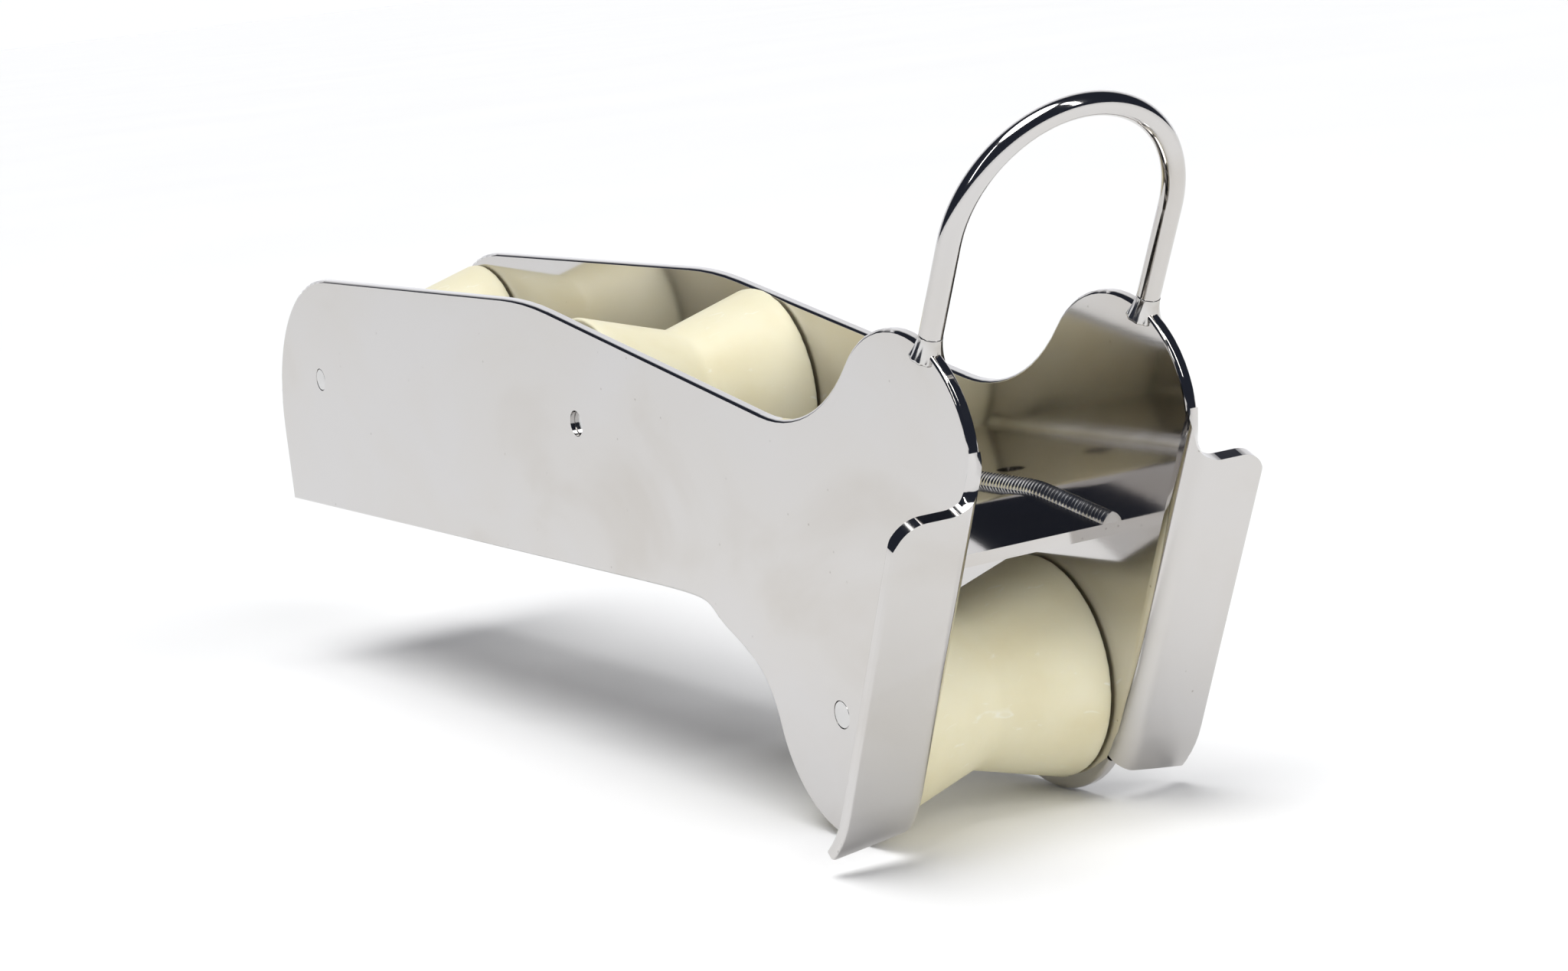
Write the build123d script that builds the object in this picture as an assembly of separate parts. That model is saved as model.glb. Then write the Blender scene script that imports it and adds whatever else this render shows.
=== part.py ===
from build123d import *
from math import atan2, cos, degrees, hypot, pi, radians, sin, sqrt, tan
import os

# A fabricated stainless bow roller: two plate cheeks with a flared mouth, a bail hoop, three
# grooved rollers on fixed axles, a deck plate and a chute plate. Millimetres.
# Profiles are drawn with X forward from the cheeks' lower rear corner and Z up from their
# straight lower edge. The finished part is shifted so that its origin is the middle of the
# deck bolt pattern, on the underside of the deck plate. Y runs to port, from the centre plane.

# Driving dimensions
WIDTH = 91.0            # over the outer faces of the cheeks
PLATE = 4.5             # thickness of every plate
AXLE_R = 5.0
ROLLER_R = 40.5         # at the roller's ends
CHEEK_HEIGHT = 107.0
HOOP_R = 4.0            # round bar of the hoop

INNER_Y = WIDTH / 2 - PLATE
OUTER_Y = WIDTH / 2
MID_Y = WIDTH / 2 - PLATE / 2

# Axle centres, each (X, Z)
REAR_AXLE = (53.6, 60.2)
MIDDLE_AXLE = (312.7, 58.3)
FRONT_AXLE = (493.2, -31.2)

# Cheek outline
REAR_CORNER_R = 72.0
KNEE = (277.5, 105.4)   # where the level top edge turns down towards the valley
KNEE_R = 230.0
SLOPE_DEG = 10.5        # fall of the top edge ahead of the knee
VALLEY_R = 66.0
HUMP_CENTRE = (549.5, 65.7)
HUMP_R = 40.7
NOSE_R = 45.5           # plain edge round the front axle
NOSE_BACK_DEG = 195.0   # where the nose edge meets the belly curve
BELLY = [(439.0, -23.5), (415.0, -9.5)]
LOWER_EDGE_END = 345.0
PLATE_EDGE_R = 1.2      # polished edges
HOLE_GAP = 0.15         # ring between an axle and its hole

# Flared flange of each cheek, bent square to the cheek along the mouth and round the nose
RAKE_DEG = 26.0         # lean of the mouth from the vertical
BEND_IN_R = 3.0
FLANGE_FACE = 51.0      # from the front axle to the flange's front face
FLARE = 28.4            # reach of the flange outside the cheek
FLANGE_TOP = 114.2      # its top edge, up the mouth from the front axle
FLANGE_TOP_R = 10.0     # hollow where the hump's edge runs into the top edge
FLANGE_CORNER_R = 11.0
FLANGE_END_DEG = -42.0  # where it ends under the nose, beside the cheek
FLANGE_END_LEAN = 15.0  # slant of that end, further round towards the free edge
NOSE_WRAP_DEG = 30.0    # how far the bent plate follows the nose before it is cut off

# Hoop
HOOP_FOOT = (569.2, 100.5)
HOOP_LEAN_DEG = 28.2
HOOP_LEG = 39.1
HOOP_WELD_R = 6.4

# Rollers and axles
END_GAP = 0.8           # from a roller's end to the cheek
GROOVE_DEPTH = 11.0
GROOVE_SOFT_R = 5.0
ROLLER_LAND = 2.0
ROLLER_EDGE = 0.4
RUNNING_GAP = 0.06
AXLE_CHAMFER = 0.3
AXLE_INSET = {"rear": 0.1, "middle": 2.0, "front": 0.1}

# Plates between the cheeks
CHUTE_TOP = 33.0
CHUTE_REAR = 351.0
CHUTE_BEND = 500.0
CHUTE_NOSE = 542.0
CHUTE_FALL_DEG = 10.0
CHUTE_BEND_R = 70.0
CHUTE_HOLE_X = 451.0
CHUTE_HOLE_Y = 20.0
DECK_REAR = 6.0
DECK_FRONT = 343.0
BOLT_X = (115.0, 250.0)
BOLT_Y = 25.0
BOLT_HOLE_R = 5.25      # clears an M10 bolt
WELD_LEG = 4.0
WELD_BULGE = 0.62       # of the leg, from the corner to the middle of the bead each way
DECK_WELD_MARGIN = 6.0

BOLT_CENTRE_X = sum(BOLT_X) / 2
BEND_OUT_R = BEND_IN_R + PLATE
BEND_START = FLANGE_FACE - BEND_OUT_R
BEND_LENGTH = (BEND_IN_R + PLATE / 2) * pi / 2  # of the bend's middle line, laid flat
FREE_Y = OUTER_Y + FLARE
SPARE = 10.0            # how far cutting shapes run past what they cut

# Unit vectors of the raked mouth in the XZ plane: up along it, and square out of it
UP = (sin(radians(RAKE_DEG)), cos(radians(RAKE_DEG)))
OUT = (cos(radians(RAKE_DEG)), -sin(radians(RAKE_DEG)))


def add(point, *steps):
    """A 2-D point moved by several (direction, distance) steps."""
    x, z = point
    for direction, distance in steps:
        x += direction[0] * distance
        z += direction[1] * distance
    return (x, z)


def along(point, origin, direction):
    """How far a point lies from an origin, measured along a direction."""
    return (point[0] - origin[0]) * direction[0] + (point[1] - origin[1]) * direction[1]


def polar(centre, radius, angle_deg):
    angle = radians(angle_deg)
    return (centre[0] + radius * cos(angle), centre[1] + radius * sin(angle))


def angle_of(point, centre):
    return degrees(atan2(point[1] - centre[1], point[0] - centre[0]))


def valley_centre():
    """Centre of the valley arc, tangent to the sloping top edge and to the hump's arc."""
    slope = radians(SLOPE_DEG)
    run = (cos(slope), -sin(slope))
    lift = (sin(slope), cos(slope))
    start = add(KNEE, (lift, VALLEY_R))
    back = along(HUMP_CENTRE, start, run)
    side = along(HUMP_CENTRE, start, lift)
    return add(start, (run, back - sqrt((HUMP_R + VALLEY_R) ** 2 - side ** 2)))


def hump_front():
    """Where the hump's arc meets the start of the flange's bend."""
    reach = BEND_START - along(HUMP_CENTRE, FRONT_AXLE, OUT)
    return add(HUMP_CENTRE, (OUT, reach), (UP, sqrt(HUMP_R ** 2 - reach ** 2)))


def arc_between(centre, radius, start, end, clockwise):
    """The arc round a centre from one point to another."""
    first = angle_of(start, centre)
    sweep = angle_of(end, centre) - first
    if clockwise and sweep > 0:
        sweep -= 360
    if not clockwise and sweep < 0:
        sweep += 360
    return CenterArc(centre, radius, first, sweep)


def cheek_outline():
    """The flat part of a cheek, up to where its front edge starts to bend into the flange."""
    slope = radians(SLOPE_DEG)
    valley = valley_centre()
    distance = hypot(valley[0] - HUMP_CENTRE[0], valley[1] - HUMP_CENTRE[1])
    toward = ((valley[0] - HUMP_CENTRE[0]) / distance, (valley[1] - HUMP_CENTRE[1]) / distance)
    valley_start = add(valley, ((-sin(slope), -cos(slope)), VALLEY_R))
    valley_end = add(HUMP_CENTRE, (toward, HUMP_R))
    front = hump_front()
    bend_foot = add(FRONT_AXLE, (OUT, BEND_START))
    bend_end = polar(FRONT_AXLE, BEND_START, FLANGE_END_DEG)
    nose_front = polar(FRONT_AXLE, NOSE_R, FLANGE_END_DEG)
    nose_back = polar(FRONT_AXLE, NOSE_R, NOSE_BACK_DEG)
    nose_way = polar((0, 0), 1, NOSE_BACK_DEG - 90)

    top = FilletPolyline(
        (0, 0),
        (0, CHEEK_HEIGHT),
        KNEE,
        valley_start,
        radius=[REAR_CORNER_R, KNEE_R],
    )
    belly = Spline(
        [nose_back, *BELLY, (LOWER_EDGE_END, 0)],
        tangents=[nose_way, (-1, 0)],
    )
    return make_face([
        *top.edges(),
        arc_between(valley, VALLEY_R, valley_start, valley_end, clockwise=False),
        arc_between(HUMP_CENTRE, HUMP_R, valley_end, front, clockwise=True),
        Line(front, bend_foot),
        arc_between(FRONT_AXLE, BEND_START, bend_foot, bend_end, clockwise=True),
        Line(bend_end, nose_front),
        arc_between(FRONT_AXLE, NOSE_R, nose_front, nose_back, clockwise=True),
        belly,
        Line((LOWER_EDGE_END, 0), (0, 0)),
    ])


def xz_plane(y):
    """A sketch plane in X and Z at the given Y; extruding from it runs towards -Y."""
    return Plane(origin=(0, y, 0), x_dir=(1, 0, 0), z_dir=(0, -1, 0))


def flange_section():
    """Bend and flange of the port cheek, as (distance from the front axle, Y)."""
    bend = (BEND_START, OUTER_Y + BEND_IN_R)
    back = BEND_START + BEND_IN_R
    face = BEND_START + BEND_OUT_R
    soft = PLATE_EDGE_R
    return make_face([
        CenterArc(bend, BEND_IN_R, -90, 90),
        Line((back, bend[1]), (back, FREE_Y - soft)),
        CenterArc((back + soft, FREE_Y - soft), soft, 180, -90),
        Line((back + soft, FREE_Y), (face - soft, FREE_Y)),
        CenterArc((face - soft, FREE_Y - soft), soft, 90, -90),
        Line((face, FREE_Y - soft), (face, bend[1])),
        CenterArc(bend, BEND_OUT_R, 0, -90),
        Line((BEND_START, INNER_Y), (BEND_START, OUTER_Y)),
    ])


def section_plane():
    """Plane square to the straight mouth: local X points out of the mouth, local Y to port."""
    return Plane(
        origin=(FRONT_AXLE[0], 0, FRONT_AXLE[1]),
        x_dir=(OUT[0], 0, OUT[1]),
        z_dir=(UP[0], 0, UP[1]),
    )


def hump_local():
    """The hump's centre, as (out of the mouth, up the mouth) from the front axle."""
    return (along(HUMP_CENTRE, FRONT_AXLE, OUT), along(HUMP_CENTRE, FRONT_AXLE, UP))


def hollow_centre():
    """Centre of the hollow between the hump and the flange's top edge, in the plate laid flat."""
    hump_out, hump_up = hump_local()
    up = FLANGE_TOP + FLANGE_TOP_R
    return (hump_out + sqrt((HUMP_R + FLANGE_TOP_R) ** 2 - (up - hump_up) ** 2), up)


def top_edge(out):
    """Height of the top edge of the plate laid flat, at a distance out of the mouth."""
    hump_out, hump_up = hump_local()
    hollow_out, hollow_up = hollow_centre()
    touch = hump_out + (hollow_out - hump_out) * HUMP_R / (HUMP_R + FLANGE_TOP_R)
    if out < touch:
        return hump_up + sqrt(HUMP_R ** 2 - (out - hump_out) ** 2)
    if out < hollow_out:
        return hollow_up - sqrt(FLANGE_TOP_R ** 2 - (hollow_out - out) ** 2)
    return FLANGE_TOP


def bend_top_cutter(height, steps=12):
    """What is cut away above the bend, as radial blocks round it joined up."""
    frame = section_plane()
    pivot = frame.from_local_coords(Vector(BEND_START, OUTER_Y + BEND_IN_R, 0))
    blocks = []
    for i in range(steps + 1):
        turn = pi / 2 * i / steps
        low = top_edge(BEND_START + BEND_LENGTH * i / steps)
        ray = frame.from_local_coords(Vector(sin(turn), -cos(turn), 0)) - frame.origin
        plane = Plane(origin=pivot, x_dir=ray, z_dir=ray.cross(frame.z_dir))
        block = Rectangle(PLATE + 2, height - low)
        blocks.append(plane * Pos(BEND_IN_R + PLATE / 2, (height + low) / 2) * block)
    return loft(blocks)


def flange_top_cutter(height):
    """What is cut away above the flange's flat part, with its outer corner rounded."""
    bend_y = OUTER_Y + BEND_IN_R
    corner_y = FREE_Y - FLANGE_CORNER_R
    corner_up = FLANGE_TOP - FLANGE_CORNER_R
    hollow_out, hollow_up = hollow_centre()
    hollow_y = bend_y + hollow_out - BEND_START - BEND_LENGTH
    start = (bend_y, top_edge(BEND_START + BEND_LENGTH))
    shape = make_face([
        arc_between((hollow_y, hollow_up), FLANGE_TOP_R, start, (hollow_y, FLANGE_TOP), False),
        Line((hollow_y, FLANGE_TOP), (corner_y, FLANGE_TOP)),
        CenterArc((corner_y, corner_up), FLANGE_CORNER_R, 90, -90),
        Line((FREE_Y, corner_up), (FREE_Y + SPARE, corner_up)),
        Line((FREE_Y + SPARE, corner_up), (FREE_Y + SPARE, height)),
        Line((FREE_Y + SPARE, height), (bend_y, height)),
        Line((bend_y, height), start),
    ])
    front = Plane(
        origin=section_plane().from_local_coords(Vector(BEND_START, 0, 0)),
        x_dir=(0, 1, 0),
        z_dir=(OUT[0], 0, OUT[1]),
    )
    return extrude(front * shape, BEND_OUT_R + SPARE)


def flange_end_cutter():
    """Half space past the flange's end under the nose."""
    end = radians(FLANGE_END_DEG)
    x, z = polar(FRONT_AXLE, FLANGE_FACE, FLANGE_END_DEG)
    slant = tan(radians(FLANGE_END_LEAN))
    plane = Plane(origin=(x, OUTER_Y, z), z_dir=(sin(end), -slant, -cos(end)))
    size = 4 * FLANGE_FACE
    return plane * Pos(0, 0, size / 2) * Box(size, size, size)


def flange():
    """Bent flange of the port cheek: straight up the mouth, then round the nose."""
    section = section_plane() * flange_section()
    top = along(hump_front(), FRONT_AXLE, UP)
    straight = extrude(section, top)
    straight -= bend_top_cutter(top + SPARE)
    straight -= flange_top_cutter(top + SPARE)
    axis = Axis((FRONT_AXLE[0], 0, FRONT_AXLE[1]), (0, 1, 0))
    nose = revolve(section, axis, NOSE_WRAP_DEG)
    return straight + (nose - flange_end_cutter())


def plate_edges(solid):
    """Edges of the flat plate's outline on its two faces, except along the bend."""
    near = 0.05
    bend = section_plane()
    kept = ShapeList()
    for edge in solid.edges():
        middle = edge.position_at(0.5)
        place = (middle.X, middle.Z)
        on_bend_line = abs(bend.to_local_coords(middle).X - BEND_START) < near
        on_bend_arc = hypot(place[0] - FRONT_AXLE[0], place[1] - FRONT_AXLE[1]) < BEND_START + near
        on_step = abs(angle_of(place, FRONT_AXLE) - FLANGE_END_DEG) < near
        across = edge.bounding_box().size.Y > PLATE / 2
        if not (on_bend_line or on_bend_arc or on_step or across):
            kept.append(edge)
    return kept


def cheek():
    """Port cheek: flat plate with polished edges, flange and axle holes."""
    flat = extrude(xz_plane(OUTER_Y) * cheek_outline(), PLATE)
    flat = fillet(plate_edges(flat), PLATE_EDGE_R)
    whole = flat + flange()
    for x, z in (REAR_AXLE, MIDDLE_AXLE, FRONT_AXLE):
        hole = Circle(AXLE_R + HOLE_GAP)
        whole -= extrude(xz_plane(OUTER_Y + 1) * Pos(x, z) * hole, PLATE + 2)
    return whole


def roller(centre):
    """Roller with a V groove, softened at its waist, on a plain bore."""
    half = INNER_Y - END_GAP
    waist = ROLLER_R - GROOVE_DEPTH
    bore = AXLE_R + RUNNING_GAP
    rise = GROOVE_DEPTH / (half - ROLLER_LAND)
    tread = FilletPolyline(
        (ROLLER_R - ROLLER_EDGE, -half),
        (ROLLER_R, -half + ROLLER_EDGE),
        (ROLLER_R, -half + ROLLER_LAND),
        (waist, 0),
        (ROLLER_R, half - ROLLER_LAND),
        (ROLLER_R, half - ROLLER_EDGE),
        (ROLLER_R - ROLLER_EDGE, half),
        radius=[ROLLER_EDGE / 4, ROLLER_LAND * rise, GROOVE_SOFT_R, ROLLER_LAND * rise, ROLLER_EDGE / 4],
    )
    profile = make_face([
        *tread.edges(),
        Line((ROLLER_R - ROLLER_EDGE, half), (bore, half)),
        Line((bore, half), (bore, -half)),
        Line((bore, -half), (ROLLER_R - ROLLER_EDGE, -half)),
    ])
    return Pos(centre[0], 0, centre[1]) * revolve(profile, Axis.Y)


def axle(centre, inset):
    """Plain round axle, a little short of the cheeks' outer faces."""
    length = WIDTH - 2 * inset
    rod = extrude(xz_plane(length / 2) * Circle(AXLE_R), length)
    rod = chamfer(rod.edges().filter_by(GeomType.CIRCLE), AXLE_CHAMFER)
    return Pos(centre[0], 0, centre[1]) * rod


def hoop_plane():
    """Plane of the hoop, through its feet: local X to port, local Y up the legs."""
    lean = radians(HOOP_LEAN_DEG)
    return Plane(
        origin=(HOOP_FOOT[0], 0, HOOP_FOOT[1]),
        x_dir=(0, 1, 0),
        z_dir=(cos(lean), 0, -sin(lean)),
    )


def hump_edge():
    """A cylinder wider than the part, filling the humps' edges."""
    return extrude(xz_plane(WIDTH) * Pos(*HUMP_CENTRE) * Circle(HUMP_R), 2 * WIDTH)


def hoop():
    """Round bar bent to a U, its legs coped to stand on the humps' edges."""
    legs = Line((-MID_Y, -HOOP_R), (-MID_Y, HOOP_LEG))
    bow = CenterArc((0, HOOP_LEG), MID_Y, 180, -180)
    path = hoop_plane() * (legs + bow + Line((MID_Y, HOOP_LEG), (MID_Y, -HOOP_R)))
    ring = Plane(origin=path @ 0, z_dir=hoop_plane().y_dir) * Circle(HOOP_R)
    return sweep(ring, path) - hump_edge()


def hoop_weld(side, cheek_solid, hoop_solid):
    """Blended bead of weld round the foot of one of the hoop's legs."""
    foot = hoop_plane().from_local_coords(Vector(side * MID_Y, 0, 0))
    bead = Pos(foot) * Sphere(HOOP_WELD_R)
    return bead - cheek_solid - hoop_solid


def chute_lines():
    """Upper and lower lines of the chute plate, which droops towards its nose."""
    fall = radians(CHUTE_FALL_DEG)
    run = CHUTE_NOSE - CHUTE_BEND
    nose_top = (CHUTE_NOSE, CHUTE_TOP - run * sin(fall) / cos(fall))
    nose_low = add(nose_top, ((-sin(fall), -cos(fall)), PLATE))
    bend_low = (CHUTE_BEND - PLATE * sin(fall / 2) / cos(fall / 2), CHUTE_TOP - PLATE)
    upper = FilletPolyline(
        (CHUTE_REAR, CHUTE_TOP), (CHUTE_BEND, CHUTE_TOP), nose_top, radius=CHUTE_BEND_R)
    lower = FilletPolyline(
        (CHUTE_REAR, CHUTE_TOP - PLATE), bend_low, nose_low, radius=CHUTE_BEND_R - PLATE)
    return upper, lower


def chute_plate():
    """Plate across the mouth's throat, with a pair of holes for fastening it down."""
    upper, lower = chute_lines()
    profile = make_face([
        *upper.edges(),
        Line(upper @ 1, lower @ 1),
        *lower.edges(),
        Line(lower @ 0, upper @ 0),
    ])
    plate = extrude(xz_plane(INNER_Y) * profile, 2 * INNER_Y)
    for y in (-CHUTE_HOLE_Y, CHUTE_HOLE_Y):
        plate -= Pos(CHUTE_HOLE_X, y, CHUTE_TOP - PLATE / 2) * Cylinder(BOLT_HOLE_R, 2 * PLATE)
    return plate


def deck_plate():
    """Plate flush with the cheeks' lower edges, under the two upper rollers."""
    length = DECK_FRONT - DECK_REAR
    plate = Pos((DECK_FRONT + DECK_REAR) / 2, 0, PLATE / 2) * Box(length, 2 * INNER_Y, PLATE)
    for x in BOLT_X:
        for y in (-BOLT_Y, BOLT_Y):
            plate -= Pos(x, y, PLATE / 2) * Cylinder(BOLT_HOLE_R, 2 * PLATE)
    return plate


def bead_section(side):
    """Section of a weld bead in the corner between a plate and a cheek, as (Y, Z)."""
    bulge = WELD_LEG * WELD_BULGE
    return make_face([
        Line((0, 0), (-side * WELD_LEG, 0)),
        ThreePointArc((-side * WELD_LEG, 0), (-side * bulge, bulge), (0, WELD_LEG)),
        Line((0, WELD_LEG), (0, 0)),
    ])


def bead(side, path_edges):
    """Weld bead swept along a line in X and Z, in the corner at one cheek's inner face."""
    path = xz_plane(side * INNER_Y) * Wire(path_edges)
    start = path @ 0
    section = Plane(origin=start, x_dir=(0, 1, 0), z_dir=(1, 0, 0)) * bead_section(side)
    return sweep(section, path)


def make_parts():
    port = cheek()
    starboard = mirror(port, Plane.XZ)
    bail = hoop()
    upper, _ = chute_lines()
    deck_line = Line((DECK_REAR + DECK_WELD_MARGIN, PLATE), (DECK_FRONT - DECK_WELD_MARGIN, PLATE))
    parts = {
        "port_cheek": port,
        "starboard_cheek": starboard,
        "hoop": bail,
        "port_hoop_weld": hoop_weld(1, port, bail),
        "starboard_hoop_weld": hoop_weld(-1, starboard, bail),
        "chute_plate": chute_plate(),
        "deck_plate": deck_plate(),
    }
    for name, side in (("port", 1), ("starboard", -1)):
        parts[f"{name}_chute_weld"] = bead(side, upper.edges())
        parts[f"{name}_deck_weld"] = bead(side, [deck_line])
    axles = {"rear": REAR_AXLE, "middle": MIDDLE_AXLE, "front": FRONT_AXLE}
    for name, centre in axles.items():
        parts[f"{name}_roller"] = roller(centre)
        parts[f"{name}_axle"] = axle(centre, AXLE_INSET[name])
    return parts


os.makedirs("parts", exist_ok=True)
for node, shape in make_parts().items():
    export_step(Pos(-BOLT_CENTRE_X, 0, 0) * shape, f"parts/{node}.step")
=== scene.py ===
import math
import random

import bmesh
import bpy
from mathutils import Matrix, Vector


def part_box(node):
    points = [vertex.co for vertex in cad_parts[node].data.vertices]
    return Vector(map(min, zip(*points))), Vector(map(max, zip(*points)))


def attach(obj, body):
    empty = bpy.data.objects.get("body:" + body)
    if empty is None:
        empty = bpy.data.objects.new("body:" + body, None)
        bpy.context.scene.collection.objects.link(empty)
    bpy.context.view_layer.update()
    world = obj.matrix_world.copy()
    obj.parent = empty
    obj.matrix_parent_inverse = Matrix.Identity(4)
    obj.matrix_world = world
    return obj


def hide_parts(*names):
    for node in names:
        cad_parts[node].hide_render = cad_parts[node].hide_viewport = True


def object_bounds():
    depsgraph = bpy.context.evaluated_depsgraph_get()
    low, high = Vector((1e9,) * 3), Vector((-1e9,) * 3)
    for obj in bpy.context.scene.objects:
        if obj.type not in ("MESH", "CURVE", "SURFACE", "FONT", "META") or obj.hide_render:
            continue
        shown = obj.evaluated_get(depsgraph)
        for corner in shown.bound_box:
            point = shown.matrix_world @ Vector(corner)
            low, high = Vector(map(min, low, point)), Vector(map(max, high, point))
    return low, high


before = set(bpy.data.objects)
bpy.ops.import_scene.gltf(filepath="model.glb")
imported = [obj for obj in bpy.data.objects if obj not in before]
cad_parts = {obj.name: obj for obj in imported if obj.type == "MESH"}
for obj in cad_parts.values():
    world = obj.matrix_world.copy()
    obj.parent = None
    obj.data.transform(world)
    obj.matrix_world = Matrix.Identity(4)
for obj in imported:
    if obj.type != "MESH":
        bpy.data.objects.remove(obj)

CAD_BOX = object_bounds()
SEED = 7
MM = 0.001

# Camera: the photograph's viewing angle, in degrees, and its place in metres
VIEW_AZIMUTH = 60.5
VIEW_ELEVATION = 9.35
VIEW_ROLL = -6.3
VIEW_PLACE = (1.2587, -0.5947, 0.2313)
LENS = 74.6

# Studio
FLOOR_HALF = 60.0
FLOOR_GAP = 0.5 * MM
SUN_STRENGTH = 2.5
SUN_ANGLE = 45.0
OVERHEAD_PLACE = (0.3, -0.6, 3.0)
FILL_STRENGTH = 1.25
FILL_PLACE = (2.0, 0.2, 0.9)
SOFTBOX_POWER = 4.0
STRIP = (0.12, 1.2)
FRONT_BOX_PLACE = (1.4, 0.5, 1.2)
SIDE_BOX_PLACE = (0.6, -1.6, 1.3)
BACKDROP = (1.0, 1.01, 1.05, 1)
DARK_STUDIO = (0.024, 0.028, 0.042, 1)
BACKDROP_EDGES = (0.60, 0.78)  # cosine from straight behind the part: dark before, bright after

# Rollers
ROLLER_WAIST = 11.0 * MM        # depth of the V at the middle
ROLLER_LAND = 2.0 * MM
ROLLER_EDGE = 0.4 * MM
RUNNING_GAP = 0.06 * MM
RING_STEPS = 256
FLANK_STEPS = 24
BURR_DEPTH = 0.35 * MM
EDGE_ROUND = 0.1                # of the edge, how far its corners are drawn in
END_RING = 0.6                  # of the radius, where the end face has a ring of corners
WAIST_SOFTNESS = 0.0012         # rounds the bottom of the V
EDGE_BURR = 0.3                 # share of the burr taken at the end face
LAND_BURR = 0.4                 # and on the land beside the rim

# Hoop welds
HOOP_LEAN = 28.2                # of the legs from upright, in degrees
COLLAR_STEPS = 96
COLLAR_RINGS = 14
COLLAR_FOOT_R = 5.9 * MM
COLLAR_TOP_R = 4.02 * MM
COLLAR_LOW = -3.5 * MM          # from the middle of the leg's foot
COLLAR_HIGH = 5.0 * MM
COLLAR_RIPPLE = 0.16 * MM
COLLAR_FLARE = 1.8              # how sharply the collar widens towards its foot


def add_camera():
    """Camera at the photograph's viewing angle."""
    azimuth = math.radians(VIEW_AZIMUTH)
    elevation = math.radians(VIEW_ELEVATION)
    roll = math.radians(VIEW_ROLL)
    back = Vector((
        math.sin(azimuth) * math.cos(elevation),
        -math.cos(azimuth) * math.cos(elevation),
        math.sin(elevation),
    ))
    level = Vector((0, 0, 1)).cross(back).normalized()
    upright = back.cross(level)
    right = level * math.cos(roll) + upright * math.sin(roll)
    up = upright * math.cos(roll) - level * math.sin(roll)
    turn = Matrix((right, up, back)).transposed()
    data = bpy.data.cameras.new("camera")
    data.lens = LENS
    data.clip_start = 0.01
    data.clip_end = 500.0
    camera = bpy.data.objects.new("camera", data)
    camera.matrix_world = Matrix.Translation(VIEW_PLACE) @ turn.to_4x4()
    bpy.context.scene.collection.objects.link(camera)
    bpy.context.scene.camera = camera


def new_material(name):
    """A material with one Principled shader, as (material, tree, shader)."""
    material = bpy.data.materials.new(name)
    material.use_nodes = True
    tree = material.node_tree
    tree.nodes.clear()
    out = tree.nodes.new("ShaderNodeOutputMaterial")
    shader = tree.nodes.new("ShaderNodeBsdfPrincipled")
    tree.links.new(shader.outputs[0], out.inputs[0])
    return material, tree, shader


def place_coords(tree, stretch=(1, 1, 1)):
    """The object's own coordinates, stretched along each axis."""
    coords = tree.nodes.new("ShaderNodeTexCoord")
    mapping = tree.nodes.new("ShaderNodeMapping")
    mapping.inputs["Scale"].default_value = stretch
    tree.links.new(coords.outputs["Object"], mapping.inputs["Vector"])
    return mapping.outputs["Vector"]


def noise(tree, scale, detail=4.0, stretch=(1, 1, 1), distortion=0.0):
    """Factor of a noise texture with that many features per metre."""
    node = tree.nodes.new("ShaderNodeTexNoise")
    node.inputs["Scale"].default_value = scale
    node.inputs["Detail"].default_value = detail
    node.inputs["Distortion"].default_value = distortion
    tree.links.new(place_coords(tree, stretch), node.inputs["Vector"])
    return node.outputs["Fac"]


def specks(tree, scale, size):
    """One at the middle of scattered small spots, falling to nought."""
    node = tree.nodes.new("ShaderNodeTexVoronoi")
    node.inputs["Scale"].default_value = scale
    tree.links.new(place_coords(tree), node.inputs["Vector"])
    return ramp(tree, node.outputs["Distance"], (0.0, (1, 1, 1, 1)), (size, (0, 0, 0, 1)))


def ramp(tree, factor, *stops):
    """Colour ramp through (place, colour) stops."""
    node = tree.nodes.new("ShaderNodeValToRGB")
    points = node.color_ramp.elements
    while len(points) < len(stops):
        points.new(0.5)
    for point, (place, colour) in zip(points, stops):
        point.position = place
        point.color = colour
    tree.links.new(factor, node.inputs["Fac"])
    return node.outputs["Color"]


def spread(tree, factor, low, high):
    """A factor from 0 to 1 stretched to run from low to high."""
    node = tree.nodes.new("ShaderNodeMapRange")
    node.inputs["To Min"].default_value = low
    node.inputs["To Max"].default_value = high
    tree.links.new(factor, node.inputs["Value"])
    return node.outputs["Result"]


def layer(tree, factor, base, over):
    """Colour over laid on base as far as factor says."""
    node = tree.nodes.new("ShaderNodeMix")
    node.data_type = "RGBA"
    tree.links.new(factor, node.inputs["Factor"])
    tree.links.new(base, node.inputs["A"])
    tree.links.new(over, node.inputs["B"])
    return node.outputs["Result"]


def bump(tree, shader, height, distance, strength=1.0, under=None):
    """Bump on the shader, with an optional bump under it."""
    node = tree.nodes.new("ShaderNodeBump")
    node.inputs["Strength"].default_value = strength
    node.inputs["Distance"].default_value = distance
    tree.links.new(height, node.inputs["Height"])
    if under is not None:
        tree.links.new(under, node.inputs["Normal"])
    tree.links.new(node.outputs["Normal"], shader.inputs["Normal"])
    return node.outputs["Normal"]


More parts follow.
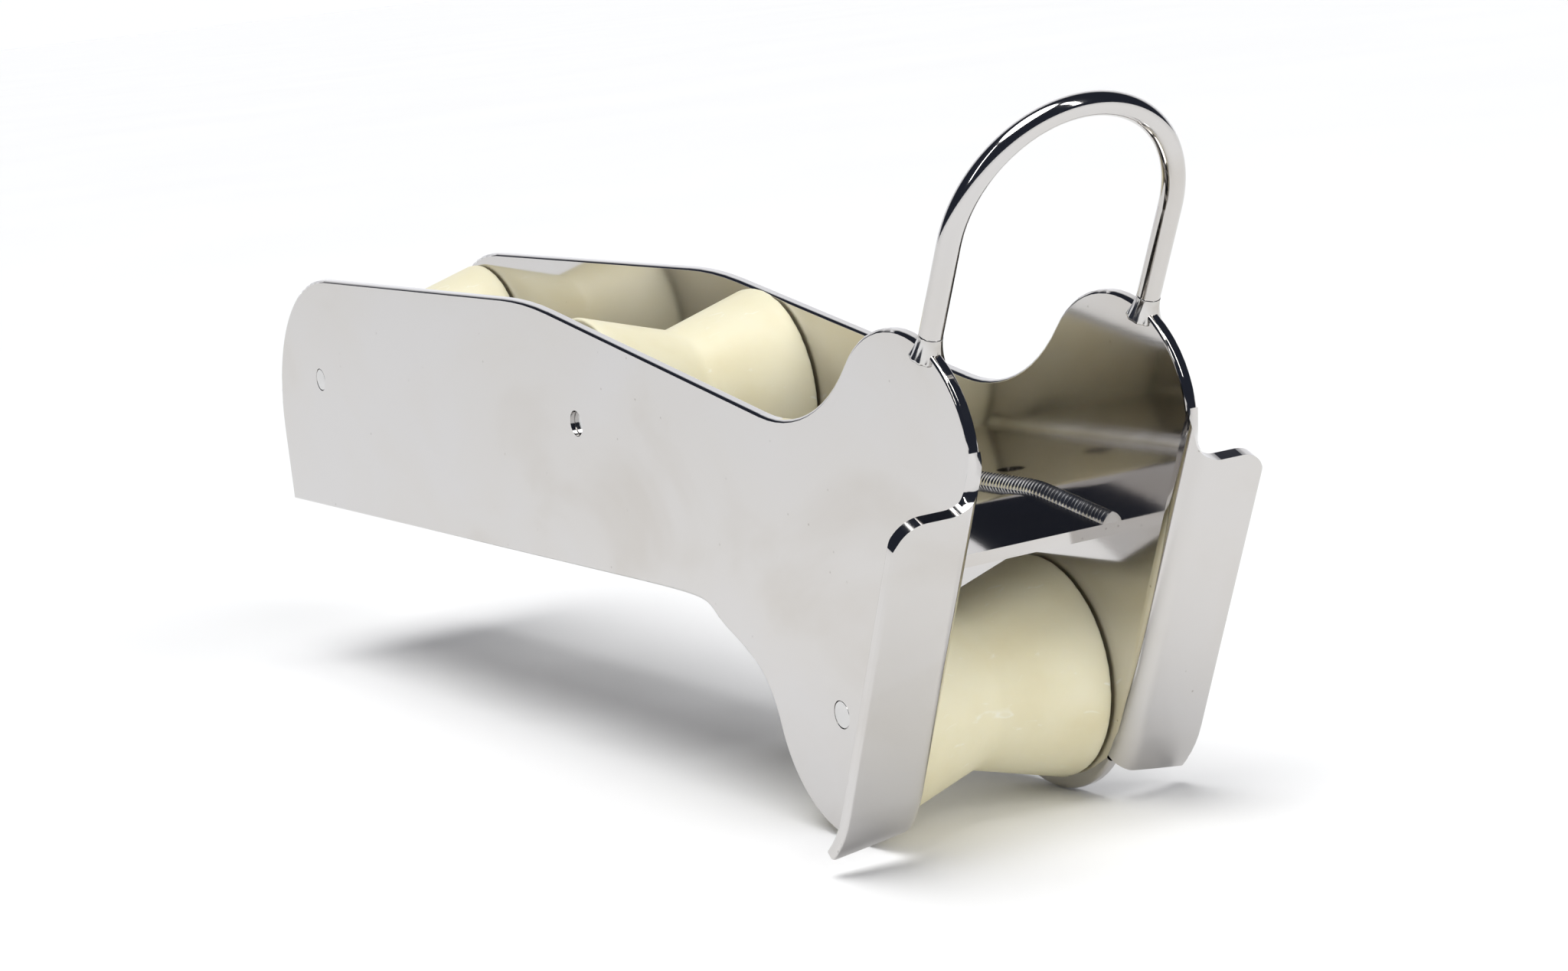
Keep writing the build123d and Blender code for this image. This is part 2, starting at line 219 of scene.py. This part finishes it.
def polished_steel():
    """Mirror-polished plate and bar, with warm smears, specks and hair scratches."""
    material, tree, shader = new_material("polished_steel")
    shader.inputs["Metallic"].default_value = 1.0
    smears = noise(tree, 9.0, 6.0, (1, 1, 1.6), 0.6)
    haze = ramp(
        tree, smears,
        (0.38, (0.600, 0.588, 0.582, 1)),
        (0.56, (0.592, 0.575, 0.558, 1)),
        (0.70, (0.552, 0.528, 0.500, 1)),
    )
    grime = ramp(tree, noise(tree, 60.0, 3.0), (0.35, (0.22, 0.20, 0.18, 1)), (0.65, (0.35, 0.32, 0.29, 1)))
    tree.links.new(layer(tree, specks(tree, 95.0, 0.055), haze, grime), shader.inputs["Base Color"])
    tree.links.new(spread(tree, noise(tree, 14.0, 5.0), 0.03, 0.13), shader.inputs["Roughness"])
    waves = bump(tree, shader, noise(tree, 11.0, 2.0), 0.25 * MM, 0.5)
    bump(tree, shader, noise(tree, 900.0, 2.0, (0.05, 1, 1)), 0.004 * MM, 0.5, waves)
    return material


def axle_steel():
    """Turned bar with fine tool marks and patches of lower shine."""
    material, tree, shader = new_material("axle_steel")
    shader.inputs["Metallic"].default_value = 1.0
    tone = ramp(tree, noise(tree, 120.0, 3.0), (0.3, (0.60, 0.595, 0.59, 1)), (0.7, (0.67, 0.665, 0.66, 1)))
    tree.links.new(tone, shader.inputs["Base Color"])
    tree.links.new(spread(tree, noise(tree, 200.0, 3.0), 0.08, 0.20), shader.inputs["Roughness"])
    bump(tree, shader, noise(tree, 2500.0, 2.0, (1, 0.05, 1)), 0.004 * MM, 0.6)
    return material


def weld_metal():
    """Polished-over weld with the ripples of the bead left in it."""
    material, tree, shader = new_material("weld_metal")
    shader.inputs["Metallic"].default_value = 1.0
    tone = ramp(tree, noise(tree, 70.0, 4.0), (0.35, (0.50, 0.475, 0.44, 1)), (0.68, (0.66, 0.655, 0.65, 1)))
    tree.links.new(tone, shader.inputs["Base Color"])
    tree.links.new(spread(tree, noise(tree, 90.0, 3.0), 0.08, 0.24), shader.inputs["Roughness"])
    ripple = tree.nodes.new("ShaderNodeTexWave")
    ripple.inputs["Scale"].default_value = 160.0
    ripple.inputs["Distortion"].default_value = 3.0
    ripple.inputs["Detail"].default_value = 2.0
    tree.links.new(place_coords(tree), ripple.inputs["Vector"])
    ripples = bump(tree, shader, ripple.outputs["Fac"], 0.16 * MM, 0.6)
    bump(tree, shader, noise(tree, 400.0, 3.0), 0.05 * MM, 0.4, ripples)
    return material


def roller_plastic():
    """Turned cream nylon with tool lines, pale scuffs and faint stains."""
    material, tree, shader = new_material("roller_plastic")
    shader.inputs["Subsurface Weight"].default_value = 0.12
    shader.inputs["Subsurface Radius"].default_value = (4 * MM, 3 * MM, 1.5 * MM)
    shader.inputs["Subsurface Scale"].default_value = 1.0
    body = ramp(
        tree, noise(tree, 26.0, 5.0),
        (0.32, (0.730, 0.665, 0.440, 1)),
        (0.52, (0.775, 0.725, 0.515, 1)),
        (0.72, (0.795, 0.755, 0.570, 1)),
    )
    pale = ramp(tree, noise(tree, 90.0, 2.0), (0.3, (0.81, 0.78, 0.62, 1)), (0.7, (0.85, 0.83, 0.70, 1)))
    rubbed = noise(tree, 210.0, 5.0, (1, 0.35, 1), 1.2)
    scuffs = ramp(tree, rubbed, (0.64, (0, 0, 0, 1)), (0.76, (1, 1, 1, 1)))
    tree.links.new(layer(tree, scuffs, body, pale), shader.inputs["Base Color"])
    tree.links.new(spread(tree, noise(tree, 45.0, 4.0), 0.38, 0.58), shader.inputs["Roughness"])
    lines = bump(tree, shader, noise(tree, 1800.0, 2.0, (0.02, 1, 0.02)), 0.02 * MM, 0.5)
    bump(tree, shader, noise(tree, 260.0, 4.0), 0.06 * MM, 0.35, lines)
    return material


def pale_floor():
    """Plain white studio floor with a trace of unevenness."""
    material, tree, shader = new_material("studio_floor")
    shader.inputs["Roughness"].default_value = 0.9
    shader.inputs["Specular IOR Level"].default_value = 0.0
    tone = ramp(tree, noise(tree, 1.5, 2.0), (0.3, (0.925, 0.925, 0.92, 1)), (0.7, (0.94, 0.94, 0.935, 1)))
    tree.links.new(tone, shader.inputs["Base Color"])
    return material


def set_material(obj, material):
    """Gives an object this one material."""
    obj.data.materials.clear()
    obj.data.materials.append(material)


def mesh_object(name, build):
    """A new smooth object whose mesh the build function fills in."""
    mesh = bpy.data.meshes.new(name)
    form = bmesh.new()
    build(form)
    bmesh.ops.recalc_face_normals(form, faces=form.faces)
    for face in form.faces:
        face.smooth = True
    form.to_mesh(mesh)
    form.free()
    obj = bpy.data.objects.new(name, mesh)
    bpy.context.scene.collection.objects.link(obj)
    return obj


def box_middle(node):
    """Middle of a CAD node's box."""
    low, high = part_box(node)
    return (Vector(low) + Vector(high)) / 2


def join_rings(form, rings, closed):
    """Faces between each ring of corners and the next, the last joined to the first if closed."""
    nexts = rings[1:] + rings[:1] if closed else rings[1:]
    for ring, following in zip(rings, nexts):
        count = len(ring)
        for i in range(count):
            j = (i + 1) % count
            form.faces.new((ring[i], ring[j], following[j], following[i]))


def roller_profile(radius, half, bore):
    """Section of a roller, as (radius, Y, how much burr it takes)."""
    flat = half - ROLLER_LAND
    drawn_in = ROLLER_EDGE * EDGE_ROUND
    points = [(bore, -half, 0), (radius * END_RING, -half, 0)]
    points.append((radius - 2 * ROLLER_EDGE, -half, EDGE_BURR))
    points.append((radius - ROLLER_EDGE, -half + drawn_in, 1))
    points.append((radius - drawn_in, -half + ROLLER_EDGE, 1))
    points.append((radius, -half + 2 * ROLLER_EDGE, LAND_BURR))
    for i in range(2 * FLANK_STEPS + 1):
        y = flat * (i / FLANK_STEPS - 1)
        rise = abs(y) / flat
        soft = math.sqrt((rise * rise + WAIST_SOFTNESS) / (1 + WAIST_SOFTNESS))
        points.append((radius - ROLLER_WAIST * (1 - soft), y, 0))
    points.append((radius, half - 2 * ROLLER_EDGE, LAND_BURR))
    points.append((radius - drawn_in, half - ROLLER_EDGE, 1))
    points.append((radius - ROLLER_EDGE, half - drawn_in, 1))
    points.append((radius - 2 * ROLLER_EDGE, half, EDGE_BURR))
    points += [(radius * END_RING, half, 0), (bore, half, 0)]
    return points


def burr_pattern(draw):
    """How far the rim is nibbled away at each step round it, from 0 to 1."""
    rough = [draw.random() ** 3 for _ in range(RING_STEPS)]
    return [(rough[i - 1] + 2 * rough[i] + rough[(i + 1) % RING_STEPS]) / 4 for i in range(RING_STEPS)]


def turned_roller(place, draw):
    """Lathe-turned roller with ragged rims, in place of the CAD one."""
    node = f"{place}_roller"
    low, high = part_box(node)
    centre = box_middle(node)
    radius = (high[2] - low[2]) / 2
    half = (high[1] - low[1]) / 2
    axle_low, axle_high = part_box(f"{place}_axle")
    bore = (axle_high[2] - axle_low[2]) / 2 + RUNNING_GAP
    burrs = (burr_pattern(draw), burr_pattern(draw))

    def build(form):
        rings = []
        for r, y, burr in roller_profile(radius, half, bore):
            nibbled = burrs[y > 0]
            ring = []
            for i in range(RING_STEPS):
                angle = 2 * math.pi * i / RING_STEPS
                reach = r - burr * BURR_DEPTH * nibbled[i]
                ring.append(form.verts.new((reach * math.cos(angle), y, reach * math.sin(angle))))
            rings.append(ring)
        join_rings(form, rings, closed=True)

    roller = mesh_object(f"{place}_turned_roller", build)
    roller.location = centre
    set_material(roller, PLASTIC)
    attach(roller, f"{place}_wheel")
    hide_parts(node)


def hoop_collar(side, draw):
    """Flared, rippled weld round a foot of the hoop, in place of the CAD bead."""
    node = f"{side}_hoop_weld"
    lean = Matrix.Rotation(math.radians(HOOP_LEAN), 4, "Y")
    beats = 9 + draw.randrange(3)
    phase = draw.uniform(0, 2 * math.pi)

    def build(form):
        rings = []
        for i in range(COLLAR_RINGS + 1):
            rise = i / COLLAR_RINGS
            ring = []
            for k in range(COLLAR_STEPS):
                angle = 2 * math.pi * k / COLLAR_STEPS
                ripple = math.sin(beats * angle + phase + 2 * math.sin(angle)) * (1 - rise)
                reach = COLLAR_TOP_R + (COLLAR_FOOT_R - COLLAR_TOP_R) * (1 - rise) ** COLLAR_FLARE
                reach += COLLAR_RIPPLE * ripple
                height = COLLAR_LOW + (COLLAR_HIGH - COLLAR_LOW) * rise
                ring.append(form.verts.new((reach * math.cos(angle), reach * math.sin(angle), height)))
            rings.append(ring)
        join_rings(form, rings, closed=False)
        form.faces.new(rings[0])
        form.faces.new(rings[-1])

    collar = mesh_object(f"{side}_hoop_collar", build)
    collar.matrix_world = Matrix.Translation(box_middle(node)) @ lean
    set_material(collar, WELD)
    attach(collar, "frame")
    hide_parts(node)


def add_world():
    """Bright backdrop beyond the object and a dark studio everywhere else."""
    world = bpy.data.worlds.new("studio")
    world.use_nodes = True
    tree = world.node_tree
    coords = tree.nodes.new("ShaderNodeTexCoord")
    towards = tree.nodes.new("ShaderNodeVectorMath")
    towards.operation = "DOT_PRODUCT"
    azimuth = math.radians(VIEW_AZIMUTH)
    towards.inputs[1].default_value = (-math.sin(azimuth), math.cos(azimuth), 0)
    tree.links.new(coords.outputs["Generated"], towards.inputs[0])
    dark, bright = BACKDROP_EDGES
    colour = ramp(tree, towards.outputs["Value"], (dark, DARK_STUDIO), (bright, BACKDROP))
    background = tree.nodes["Background"]
    tree.links.new(colour, background.inputs["Color"])
    background.inputs["Strength"].default_value = 1.0
    bpy.context.scene.world = world


def add_floor():
    """Large pale floor just under the object."""
    low = CAD_BOX[0][2] - FLOOR_GAP
    mesh = bpy.data.meshes.new("floor")
    size = FLOOR_HALF
    corners = [(-size, -size, low), (size, -size, low), (size, size, low), (-size, size, low)]
    mesh.from_pydata(corners, [], [(0, 1, 2, 3)])
    floor = bpy.data.objects.new("floor", mesh)
    bpy.context.scene.collection.objects.link(floor)
    set_material(floor, pale_floor())


def add_light(data, place, target):
    """Puts a light at a place, pointing at a target."""
    light = bpy.data.objects.new(data.name, data)
    aim = (Vector(target) - Vector(place)).to_track_quat("-Z", "Y")
    light.matrix_world = Matrix.Translation(place) @ aim.to_matrix().to_4x4()
    bpy.context.scene.collection.objects.link(light)
    return light


def add_softbox(name, place, size, power):
    """Soft strip light aimed at the middle of the part."""
    data = bpy.data.lights.new(name, "AREA")
    data.shape = "RECTANGLE"
    data.size, data.size_y = size
    data.energy = power
    middle = (Vector(CAD_BOX[0]) + Vector(CAD_BOX[1])) / 2
    add_light(data, place, middle)


def add_sun(name, place, strength):
    """Very soft, even light from the direction of a place."""
    data = bpy.data.lights.new(name, "SUN")
    data.energy = strength
    data.angle = math.radians(SUN_ANGLE)
    return add_light(data, place, (0, 0, 0))


STEEL = polished_steel()
AXLE = axle_steel()
WELD = weld_metal()
PLASTIC = roller_plastic()

for name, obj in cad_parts.items():
    if name.endswith("weld"):
        set_material(obj, WELD)
    elif name.endswith("axle"):
        set_material(obj, AXLE)
    elif name.endswith("roller"):
        set_material(obj, PLASTIC)
    else:
        set_material(obj, STEEL)

draw = random.Random(SEED)
for place in ("rear", "middle", "front"):
    turned_roller(place, draw)
for side in ("port", "starboard"):
    hoop_collar(side, draw)

add_camera()
add_world()
add_floor()
add_sun("overhead", OVERHEAD_PLACE, SUN_STRENGTH)
add_sun("fill", FILL_PLACE, FILL_STRENGTH).visible_glossy = False
add_softbox("front_box", FRONT_BOX_PLACE, STRIP, SOFTBOX_POWER)
add_softbox("side_box", SIDE_BOX_PLACE, STRIP, SOFTBOX_POWER)
bpy.context.scene.view_settings.view_transform = "Standard"
